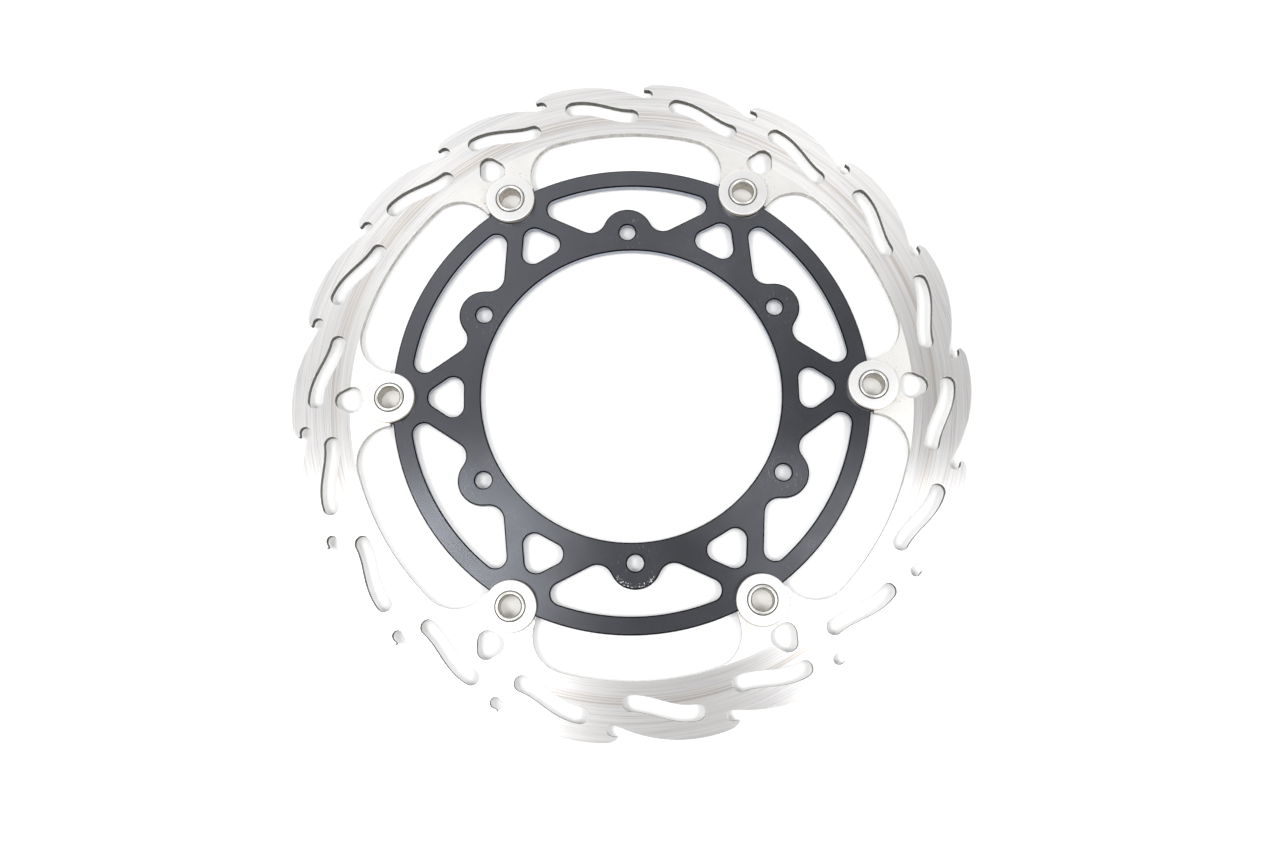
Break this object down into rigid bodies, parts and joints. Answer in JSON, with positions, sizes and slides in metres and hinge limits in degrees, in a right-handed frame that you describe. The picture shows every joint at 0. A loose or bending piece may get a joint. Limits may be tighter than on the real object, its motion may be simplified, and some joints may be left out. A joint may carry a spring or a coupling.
{
  "type": "motorcycle brake disc",
  "caption": "Floating brake disc: a swirl-slotted steel blade with hooked teeth, held by drive bobbins round a spoked black aluminium carrier with a large hub bore.",
  "frame": {"origin": "on the wheel axis, in the plane of the bobbins' flange faces, which is the lowest plane of the disc lying flat", "axes": "+Z along the wheel axis towards the outer side of the disc; +X through the centre of bobbin 1"},
  "size_m": [0.2698, 0.268, 0.0076],
  "materials": {
    "black_anodised": "satin black anodised aluminium",
    "ground_steel": "rotary-ground stainless steel",
    "turned_steel": "turned steel",
    "plated_steel": "bright plated steel",
    "spring_steel": "straw-tinted spring steel"
  },
  "bodies": {
    "carrier": {"carrier": "black_anodised"},
    "blade": {"blade": "ground_steel"},
    "button_1": {"bobbin_1": "turned_steel", "flat_washer_1": "plated_steel", "wave_washer_1": "spring_steel"},
    "button_2": {"bobbin_2": "turned_steel", "flat_washer_2": "plated_steel", "wave_washer_2": "spring_steel"},
    "button_3": {"bobbin_3": "turned_steel", "flat_washer_3": "plated_steel", "wave_washer_3": "spring_steel"},
    "button_4": {"bobbin_4": "turned_steel", "flat_washer_4": "plated_steel", "wave_washer_4": "spring_steel"},
    "button_5": {"bobbin_5": "turned_steel", "flat_washer_5": "plated_steel", "wave_washer_5": "spring_steel"},
    "button_6": {"bobbin_6": "turned_steel", "flat_washer_6": "plated_steel", "wave_washer_6": "spring_steel"}
  },
  "joints": [
    {"name": "blade_float", "type": "slide", "parent": "carrier", "child": "blade", "axis": [0, 0, 1], "range_m": [-0.0002, 0.0002]},
    {"name": "bobbin_1_spin", "type": "hinge", "parent": "carrier", "child": "button_1", "pos_m": [0.0958, 0, 0], "axis": [0, 0, 1], "continuous": true},
    {"name": "bobbin_2_spin", "type": "hinge", "parent": "carrier", "child": "button_2", "pos_m": [0.0479, 0.08296, 0], "axis": [0, 0, 1], "continuous": true},
    {"name": "bobbin_3_spin", "type": "hinge", "parent": "carrier", "child": "button_3", "pos_m": [-0.0479, 0.08296, 0], "axis": [0, 0, 1], "continuous": true},
    {"name": "bobbin_4_spin", "type": "hinge", "parent": "carrier", "child": "button_4", "pos_m": [-0.0958, 0, 0], "axis": [0, 0, 1], "continuous": true},
    {"name": "bobbin_5_spin", "type": "hinge", "parent": "carrier", "child": "button_5", "pos_m": [-0.0479, -0.08296, 0], "axis": [0, 0, 1], "continuous": true},
    {"name": "bobbin_6_spin", "type": "hinge", "parent": "carrier", "child": "button_6", "pos_m": [0.0479, -0.08296, 0], "axis": [0, 0, 1], "continuous": true}
  ]
}
